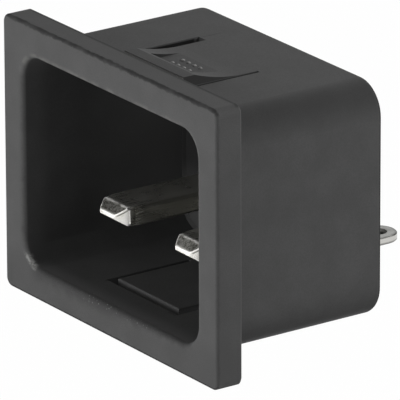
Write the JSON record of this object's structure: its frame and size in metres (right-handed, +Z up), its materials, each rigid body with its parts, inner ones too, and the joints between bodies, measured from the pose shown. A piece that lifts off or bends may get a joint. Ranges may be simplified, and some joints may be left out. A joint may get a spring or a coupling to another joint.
{
  "type": "iec panel inlet",
  "caption": "Snap-in power inlet: a black moulded shroud behind a square-edged bezel, with flat contact pins inside, latch tongues in the top and bottom walls and solder lugs at the rear.",
  "frame": {"origin": "middle of the bezel's back face, which lies on the front of the panel", "axes": "+Y back through the panel cut-out, +X to the right of someone facing the mouth, +Z up"},
  "size_m": [0.0366, 0.0297, 0.0286],
  "materials": {
    "housing_plastic": "matte, fine-grained black moulding",
    "pin_plating": "bright nickel plating on brass",
    "lug_plating": "satin tin plating on brass sheet"
  },
  "bodies": {
    "root": {"housing": "housing_plastic", "left_pin": "pin_plating", "right_pin": "pin_plating", "left_solder_lug": "lug_plating", "right_solder_lug": "lug_plating"}
  },
  "joints": []
}
